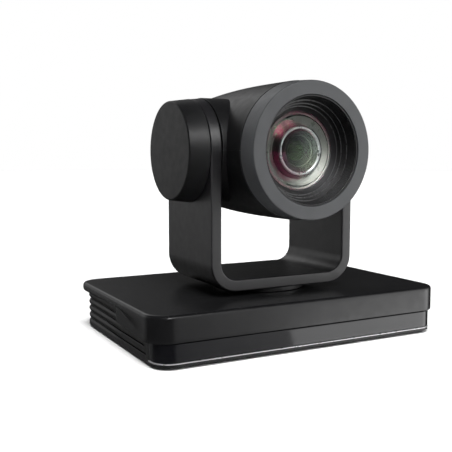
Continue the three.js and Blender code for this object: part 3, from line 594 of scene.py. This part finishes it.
def ribbed(start, end, count, depth):
    """A cone with fine light-trapping ribs cut into it."""
    points = []
    for i in range(count):
        points.append((lerp(start[0], end[0], i / count), lerp(start[1], end[1], i / count)))
        share = (i + 0.7) / count
        points.append((lerp(start[0], end[0], share) + depth, lerp(start[1], end[1], share)))
    return points


def make_lens_hood():
    """Three ribbed cones, each set in from the one before it, down to the seat of the front glass."""
    rib_depth = 0.35
    cones = [((37.5, 0.9), (35.6, 9), 7), ((34.8, 9), (33.6, 13), 4), ((32.8, 13), (31.8, 16), 3)]
    outline = [(38.2, 0.9)]
    for start, end, ribs in cones:
        first = (lerp(start[0], end[0], 0.04), lerp(start[1], end[1], 0.12))
        outline += [start, *ribbed(first, end, ribs, rib_depth), end]
    outline += [(31, 16), (28.3, 18.4), (28.3, 28), (31.5, 28), (31.5, 21), (38.2, 12)]
    hood = lens_part("hood", "lens_hood", outline)
    # The front faces of the steps get a paler black: painted highlight lines.
    repaint(hood, hood_step_painted_highlight(), lambda r, depth, normal: normal.y < -0.9 and r < 36)


def repaint(obj, material, chosen):
    """Gives another material to the faces that chosen(radius, depth, normal) picks. The radius is
    measured from the lens axis and the depth from the ring's face."""
    obj.data.materials.append(material)
    for face in obj.data.polygons:
        x, y, z = (c / MM for c in face.center)
        radius = math.hypot(x, z - TILT_HEIGHT)
        if chosen(radius, y - AXIS_Y + FACE, face.normal):
            face.material_index = len(obj.data.materials) - 1


def make_front_lens():
    """The domed front glass. The rim of its back surface has a coating of its own."""
    back_radius = 24.5
    glass = lens_part("glass_front", "front_lens", [
        *dome(12, 6.8, LENS_RADIUS - 0.3, 24), (LENS_RADIUS, 18.9), (LENS_RADIUS, 20.6),
        (LENS_RADIUS - 1, 20.6), (back_radius + 1, 20.3), *reversed(dome(13.5, 5.4, back_radius, 20)),
    ])
    rose = lens_glass("rose coating", (0.75, 0.06, 0.24))
    repaint(glass, rose, lambda r, depth, normal: normal.y > 0 and r > 14)
    return glass


def make_second_lens():
    glass = lens_part("glass_second", "second_lens", [
        *dome(16.5, 1, 15, 12), (15, 19.1), *reversed(dome(17.9, 0.9, 14.4, 12)),
    ])
    repaint(glass, tinted_glass(), lambda r, depth, normal: True)
    return glass


def make_third_lens():
    radius, back = 6.6, 25.5
    outline = [*dome(22.4, 1.4, radius, 10), (radius, back), (0, back)]
    glass = lens_part("glass_third", "third_lens", outline, 64)
    repaint(glass, inner_glass(), lambda r, depth, normal: True)
    return glass


def make_lens_cell():
    """The pale cone behind the front glass, and the stepped dark tube inside it, whose narrow edges wear the
    silver ring's metal as a painted highlight.
    """
    cell = lens_part("cell", "lens_cell", rounded([
        (LENS_RADIUS, 20.9), (LENS_RADIUS - 1, 20.9), (19.4, 23.2), (18.1, 17.2), (17.5, 17.2),
        (17.5, 19.4), (11.2, 19.6), (10.8, 20.2), (7, 22.9), (6.9, 28.2), (LENS_RADIUS, 28.2),
    ], 0.15))

    def on_cone(radius, depth, normal):
        return normal.y < -0.5 and 19.6 < radius < 26.9

    def on_painted_highlight_edge(radius, depth, normal):
        return 10.6 < radius < 11.3 or 6.6 < radius < 7.4 and depth < 24

    repaint(cell, cell_cone(), on_cone)
    # Painted highlight: the dark tube's narrow step edges take a silver metal look, so they show as thin
    # pale rings.
    repaint(cell, LOOKS["silver_ring"], on_painted_highlight_edge)


def make_lenses():
    """The glasses and their holders. Light passes the glasses without a shadow, to reach the cell."""
    for glass in (make_front_lens(), make_second_lens(), make_third_lens()):
        glass.visible_shadow = False
    make_lens_cell()
    lens_part("retainer", "retainer_ring", rounded([
        (15.3, 17.4), (15.9, 16.8), (16.8, 16.8), (17.2, 17.2), (17.2, 18.8), (15.3, 18.8),
    ], 0.12))


# ---- Looks ----

class Look:
    """A node material. Patterns are in the piece's own coordinates, with sizes in millimetres."""

    def __init__(self, name, roughness, metallic=0.0, **sockets):
        self.material = bpy.data.materials.new(name)
        self.material.use_nodes = True
        self.nodes = self.material.node_tree.nodes
        self.links = self.material.node_tree.links
        self.shader = self.nodes["Principled BSDF"]
        self.place = self.nodes.new("ShaderNodeTexCoord").outputs["Object"]
        self.shader.inputs["Metallic"].default_value = metallic
        self.shader.inputs["Roughness"].default_value = roughness
        for socket, value in sockets.items():
            self.shader.inputs[socket.replace("_", " ")].default_value = value

    def node(self, kind, inputs, **settings):
        node = self.nodes.new(kind)
        for key, value in settings.items():
            setattr(node, key, value)
        for key, value in inputs.items():
            if isinstance(value, bpy.types.NodeSocket):
                self.links.new(value, node.inputs[key])
            else:
                node.inputs[key].default_value = value
        return node

    def noise(self, size, detail=3.0, stretch=(1, 1, 1)):
        """Cloudy values from 0 to 1 with features of about size, longer along stretched axes."""
        place = self.node("ShaderNodeMapping", {"Vector": self.place, "Scale": [1 / s for s in stretch]})
        return self.node("ShaderNodeTexNoise", {
            "Vector": place.outputs["Vector"], "Scale": 1 / (size * MM), "Detail": detail,
        }).outputs["Fac"]

    def cells(self, size):
        """Distance from the nearest of scattered points that lie about size apart."""
        settings = {"Vector": self.place, "Scale": 1 / (size * MM)}
        return self.node("ShaderNodeTexVoronoi", settings).outputs["Distance"]

    def span(self, value, low, high, source=(0.3, 0.7)):
        """value brought from the source range to low..high."""
        return self.node("ShaderNodeMapRange", {
            "Value": value, "From Min": source[0], "From Max": source[1], "To Min": low, "To Max": high,
        }).outputs["Result"]

    def blend(self, share, dark, light):
        mix = self.node("ShaderNodeMix", {"Factor": share}, data_type="RGBA")
        for socket, colour in (("A", dark), ("B", light)):
            target = next(s for s in mix.inputs if s.name == socket and s.type == "RGBA")
            if isinstance(colour, bpy.types.NodeSocket):
                self.links.new(colour, target)
            else:
                target.default_value = (*colour, 1)
        return next(s for s in mix.outputs if s.type == "RGBA")

    def mottle(self, size, dark, light, detail=3.0):
        """Base colour in clouds of about size, between a dark and a light tone."""
        return self.colour(self.blend(self.span(self.noise(size, detail), 0, 1), dark, light))

    def edges(self):
        """0 on flat and hollow places, towards 1 on sharp outer edges."""
        pointed = self.nodes.new("ShaderNodeNewGeometry").outputs["Pointiness"]
        return self.span(pointed, 0, 1, (0.52, 0.62))

    def colour(self, output):
        self.links.new(output, self.shader.inputs["Base Color"])
        return self

    def rough(self, output):
        self.links.new(output, self.shader.inputs["Roughness"])
        return self

    def bumps(self, *layers):
        """Relief from layers of (height output, depth in millimetres), one over the other."""
        normal = None
        for height, depth in layers:
            inputs = {"Height": height, "Distance": depth * MM}
            if normal:
                inputs["Normal"] = normal
            normal = self.node("ShaderNodeBump", inputs).outputs["Normal"]
        self.links.new(normal, self.shader.inputs["Normal"])
        return self


def moulded(name, dark, light, roughness, grain=0.35, depth=0.012, **sockets):
    """Moulded plastic: cloudy tone, fine spark-eroded grain and edges that have rubbed paler."""
    look = Look(name, roughness, **sockets)
    tone = look.blend(look.span(look.noise(22), 0, 1), dark, light)
    rubbed = tuple(min(1, c * 1.9 + 0.01) for c in light)
    look.colour(look.blend(look.span(look.edges(), 0, 0.5, (0, 1)), tone, rubbed))
    look.rough(look.span(look.noise(6, 4), roughness - 0.04, roughness + 0.05))
    look.bumps((look.noise(grain, 2), depth), (look.cells(grain * 1.6), depth * 0.6))
    return look.material


def smoked_panel():
    """Polished dark acrylic with a faint haze of wiping marks."""
    look = Look("smoked panel", 0.06, IOR=1.5)
    look.mottle(30, (0.0035, 0.0035, 0.0045), (0.0055, 0.0055, 0.0065))
    look.rough(look.span(look.noise(14, 5, (4, 1, 1)), 0.04, 0.11))
    look.bumps((look.noise(24, 1), 0.01))
    return look.material


def metal(name, dark, light, roughness, stretch=(1, 1, 1), size=0.4, depth=0.004, metallic=1.0):
    """Metal with fine marks along the stretched axes and slightly uneven polish."""
    look = Look(name, roughness, metallic=metallic)
    marks = look.noise(size, 3, stretch)
    look.colour(look.blend(look.span(marks, 0, 1), dark, light))
    look.rough(look.span(look.noise(5, 3), roughness - 0.06, roughness + 0.08))
    look.bumps((marks, depth))
    return look.material


def grey_ring():
    """Satin dark grey lacquer with a trace of metal flake."""
    look = Look("grey ring", 0.4, metallic=0.15, IOR=1.6, Coat_Weight=0.12, Coat_Roughness=0.25)
    tone = look.blend(look.span(look.noise(16), 0, 1), (0.041, 0.043, 0.046), (0.051, 0.053, 0.056))
    flakes = look.span(look.cells(0.35), 1, 0, (0.0, 0.25))
    tone = look.blend(look.span(flakes, 0, 0.12, (0, 1)), tone, (0.3, 0.3, 0.31))
    look.colour(tone)
    look.rough(look.span(look.noise(4, 4), 0.37, 0.46))
    look.bumps((look.noise(0.4, 2), 0.005))
    return look.material


def circuit_board():
    """Green solder mask with paler copper runs under it."""
    look = Look("circuit board", 0.4)
    place = look.node("ShaderNodeMapping", {"Vector": look.place, "Rotation": (0, 0, math.radians(45))})
    bricks = look.node("ShaderNodeTexBrick", {
        "Vector": place.outputs["Vector"], "Scale": 420.0, "Mortar Size": 0.06, "Mortar Smooth": 0.2,
    })
    base = look.blend(look.span(look.noise(9), 0, 1), (0.010, 0.075, 0.030), (0.016, 0.11, 0.045))
    look.colour(look.blend(bricks.outputs["Fac"], base, (0.04, 0.2, 0.09)))
    look.rough(look.span(look.noise(3), 0.32, 0.46))
    look.bumps((bricks.outputs["Fac"], 0.02))
    return look.material


def rubber():
    """Dull black rubber with a coarse grain."""
    look = Look("rubber", 0.8)
    look.mottle(3, (0.012, 0.012, 0.012), (0.026, 0.025, 0.024))
    look.rough(look.span(look.noise(2, 4), 0.72, 0.9))
    look.bumps((look.noise(0.5, 4), 0.04))
    return look.material


def lens_glass(name, bloom):
    """Clear glass whose mirrored light takes the tint of its coating."""
    look = Look(name, 0.0, IOR=1.5, Transmission_Weight=1.0, Specular_Tint=(*bloom, 1))
    look.mottle(20, (0.92, 0.95, 0.92), (0.95, 0.96, 0.95), detail=1)
    look.rough(look.span(look.noise(9, 4), 0.0, 0.03))
    look.bumps((look.noise(18, 1), 0.002))
    return look.material


def tinted_glass():
    """Coated glass of the second lens, which darkens what is behind it."""
    bloom = (0.22, 0.16, 0.30, 1)
    look = Look("tinted glass", 0.02, IOR=1.5, Transmission_Weight=1.0, Specular_Tint=bloom)
    look.mottle(8, (0.42, 0.46, 0.38), (0.48, 0.50, 0.42), detail=1)
    look.rough(look.span(look.noise(5, 3), 0.0, 0.04))
    return look.material


def inner_glass():
    """The deepest lens, near black, with a bright polished surface."""
    look = Look("inner glass", 0.05, IOR=1.7)
    look.mottle(8, (0.006, 0.010, 0.005), (0.014, 0.020, 0.010), detail=1)
    look.rough(look.span(look.noise(5, 3), 0.03, 0.09))
    return look.material


def cell_cone():
    """Satin grey wall round the inner lenses."""
    look = Look("cell cone", 0.3, metallic=0.2)
    look.mottle(12, (0.085, 0.083, 0.078), (0.115, 0.113, 0.106))
    look.rough(look.span(look.noise(4), 0.26, 0.36))
    look.bumps((look.noise(0.5, 2), 0.003))
    return look.material


def hood_step_painted_highlight():
    """Satin black, several times paler than the hood's own black, on the front faces of its steps: painted
    highlight for the thin lines of light that the steps catch.
    """
    look = Look("hood step painted highlight", 0.3, IOR=1.6)
    look.mottle(6, (0.022, 0.022, 0.023), (0.034, 0.034, 0.035))
    look.rough(look.span(look.noise(3), 0.24, 0.36))
    return look.material


def grey(value, blue=0.0):
    """A grey, with a little more blue if asked."""
    return (value, value, value + blue)


def all_looks():
    """Slot name to material."""
    return {
        "black_plastic": moulded("black plastic", grey(0.0048, 0.0004), grey(0.0070, 0.0005), 0.38),
        "socket_plastic": moulded("socket plastic", grey(0.011), grey(0.016), 0.5, 0.25),
        "smoked_panel": smoked_panel(),
        "bright_trim": metal("bright trim", grey(0.5, 0.01), grey(0.66, 0.01), 0.3, (30, 1, 1), 0.15,
                             metallic=0.6),
        "grey_ring": grey_ring(),
        "dark_metal": moulded("coated sheet", grey(0.014, 0.002), grey(0.024, 0.003), 0.45, 0.6, 0.03),
        "matte_black": moulded("matte black", grey(0.004, 0.0005), grey(0.007, 0.0005), 0.4, 0.3, 0.006),
        "rubber": rubber(),
        "steel": metal("steel", grey(0.36, 0.01), grey(0.56, 0.01), 0.34, (1, 1, 8)),
        "silver_ring": metal("silver ring", grey(0.30, 0.01), grey(0.36, 0.01), 0.30, size=2, depth=0.002),
        "board": circuit_board(),
        "sensor": smoked_panel(),
        "nylon": moulded("nylon", (0.5, 0.48, 0.42), (0.62, 0.6, 0.54), 0.5, 0.5, 0.01),
        "lens_glass": lens_glass("lens glass", (0.08, 0.19, 0.08)),
    }


def lid_plastic():
    """The lid's plastic, glossier than the rest of the body."""
    return moulded("lid plastic", grey(0.0046, 0.0004), grey(0.0066, 0.0005), 0.22, depth=0.004)


def yoke_paint():
    """Satin black paint with a slight purple cast."""
    dark, light = (0.0066, 0.0064, 0.0074), (0.0092, 0.0089, 0.0100)
    return moulded("yoke paint", dark, light, 0.36, 0.5, 0.008, IOR=1.72)


def dress_cad_nodes():
    """Gives every CAD node its slot's look and softened edges."""
    for node, obj in frame["nodes"].items():
        obj.data.materials.clear()
        obj.data.materials.append(LOOKS[SLOT_OF[node]])
        bevel = obj.modifiers.new("Edges", "BEVEL")
        bevel.width, bevel.segments = 0.15 * MM, 2
        bevel.limit_method, bevel.angle_limit = "ANGLE", math.radians(40)


# ---- Stage ----

def card(name, direction, distance, size, brightness, roll=0.0):
    """A soft panel that faces the object from a direction, with an even brightness over its area."""
    data = bpy.data.lights.new(name, "AREA")
    data.shape, data.size, data.size_y = "RECTANGLE", size[0], size[1]
    data.energy = brightness * math.pi * size[0] * size[1]
    obj = bpy.data.objects.new(name, data)
    away = Vector(direction).normalized()
    obj.location = Vector((0, 0, 0.1)) + away * distance
    turn = Matrix.Rotation(math.radians(roll), 4, "Z")
    obj.rotation_euler = ((-away).to_track_quat("-Z", "Y").to_matrix().to_4x4() @ turn).to_euler()
    obj.visible_camera = False
    bpy.context.scene.collection.objects.link(obj)


def make_sun():
    """Even light from above for the floor. It gives no highlights on the object."""
    data = bpy.data.lights.new("sun", "SUN")
    data.energy, data.angle = 4.4, math.radians(36)
    obj = bpy.data.objects.new("sun", data)
    obj.rotation_euler = Vector((0.15, 0.35, -1)).to_track_quat("-Z", "Y").to_euler()
    obj.visible_glossy = False
    bpy.context.scene.collection.objects.link(obj)


def make_snoot():
    """A narrow light on the lower right of the cone inside the lens. It gives no highlights."""
    data = bpy.data.lights.new("snoot", "SPOT")
    data.energy, data.shadow_soft_size = 120, 0.01
    data.spot_size, data.spot_blend = math.radians(2.7), 0.6
    obj = bpy.data.objects.new("snoot", data)
    aside, depth, distance = 13, 22, 0.7
    target = Vector((aside, AXIS_Y - FACE + depth, TILT_HEIGHT - aside)) * MM
    away = Vector((-0.40, -0.85, 0.35)).normalized()
    obj.location = target + away * distance
    obj.rotation_euler = (-away).to_track_quat("-Z", "Y").to_euler()
    obj.visible_glossy = False
    bpy.context.scene.collection.objects.link(obj)


def make_floor():
    """A round pale floor, 12 m across."""
    mesh = bpy.data.meshes.new("floor")
    rim = arc((0, 0), 6.0, 0, 360, 64)[:-1]
    mesh.from_pydata([(x, y, 0) for x, y in rim], [], [tuple(range(len(rim)))])
    floor = bpy.data.objects.new("floor", mesh)
    bpy.context.scene.collection.objects.link(floor)
    look = Look("floor", 0.75)
    look.mottle(60, (0.86, 0.86, 0.86), (0.88, 0.88, 0.88))
    mesh.materials.append(look.material)
    floor.visible_glossy = False


# Soft lights of the room: direction, how narrow, and brightness.
GLOWS = [
    ((0.80, -0.60, 0.05), 10, 3.0),      # faces that look forward
    ((0.03, 0.84, 0.54), 30, 1.35),      # top of the barrel
    ((-0.55, 0.80, 0.22), 12, 0.80),     # faces that look left
    ((-0.04, -0.86, 0.50), 120, 19.0),   # coloured patches in the lens
    ((0.26, -0.75, 0.61), 120, 8.0),
]
ROOM_BRIGHTNESS = 0.028


def make_world():
    """A white backdrop. What the object mirrors and is lit by is a dim room with a few soft lights."""
    world = bpy.data.worlds.new("studio")
    bpy.context.scene.world = world
    world.use_nodes = True
    nodes, links = world.node_tree.nodes, world.node_tree.links
    nodes.clear()

    def result(kind, a, b, operation):
        node = nodes.new(kind)
        node.operation = operation
        for socket, value in zip(node.inputs, (a, b)):
            if isinstance(value, bpy.types.NodeSocket):
                links.new(value, socket)
            else:
                socket.default_value = value
        return node.outputs["Value"]

    direction = nodes.new("ShaderNodeTexCoord").outputs["Generated"]
    total = ROOM_BRIGHTNESS
    for towards, narrow, brightness in GLOWS:
        facing = result("ShaderNodeVectorMath", direction, Vector(towards).normalized(), "DOT_PRODUCT")
        front = result("ShaderNodeMath", facing, 0.0, "MAXIMUM")
        lobe = result("ShaderNodeMath", front, narrow, "POWER")
        glow = result("ShaderNodeMath", lobe, brightness, "MULTIPLY")
        total = result("ShaderNodeMath", glow, total, "ADD")
    room = nodes.new("ShaderNodeBackground")
    links.new(total, room.inputs["Strength"])
    backdrop = nodes.new("ShaderNodeBackground")
    backdrop.inputs["Color"].default_value = (1, 1, 1, 1)
    mix = nodes.new("ShaderNodeMixShader")
    links.new(nodes.new("ShaderNodeLightPath").outputs["Is Camera Ray"], mix.inputs[0])
    links.new(room.outputs[0], mix.inputs[1])
    links.new(backdrop.outputs[0], mix.inputs[2])
    links.new(mix.outputs[0], nodes.new("ShaderNodeOutputWorld").inputs["Surface"])


def make_camera():
    """Stands where the photo was taken from, as fitted to the outlines of the object in it."""
    data = bpy.data.cameras.new("camera")
    data.lens, data.sensor_width = 56.86, 36
    data.clip_start, data.clip_end = 0.01, 50
    camera = bpy.data.objects.new("camera", data)
    camera.location = Vector((-286.0, -488.8, 136.8)) * MM
    camera.rotation_euler = Vector((0.4673, 0.8788, -0.0969)).to_track_quat("-Z", "Y").to_euler()
    bpy.context.scene.collection.objects.link(camera)
    bpy.context.scene.camera = camera


def make_stage():
    """Floor, backdrop, camera and lights. The card is what the glossy front panel mirrors."""
    make_floor()
    make_world()
    make_camera()
    make_sun()
    card("window_card", (1.08, -0.77, -0.50), 1.3, (0.98, 0.55), 1.6, 20)
    make_snoot()
    bpy.context.scene.view_settings.view_transform = "Standard"


LOOKS = all_looks()
dress_cad_nodes()
make_top_cover()
make_lower_housing()
make_front_band("window", "ir_window", 0, 4.8, 17.1, 0.6)
make_front_band("trim", "trim_strip", 0.25, 3.8, 4.5, 0.2)
make_feet()
make_yoke_frame()
make_turntable()
make_drum_cap(-1, "left")
make_drum_cap(1, "right")
make_head_shells()
make_front_bezel()
make_rear_cover()
make_lens_hood()
make_lenses()
make_stage()
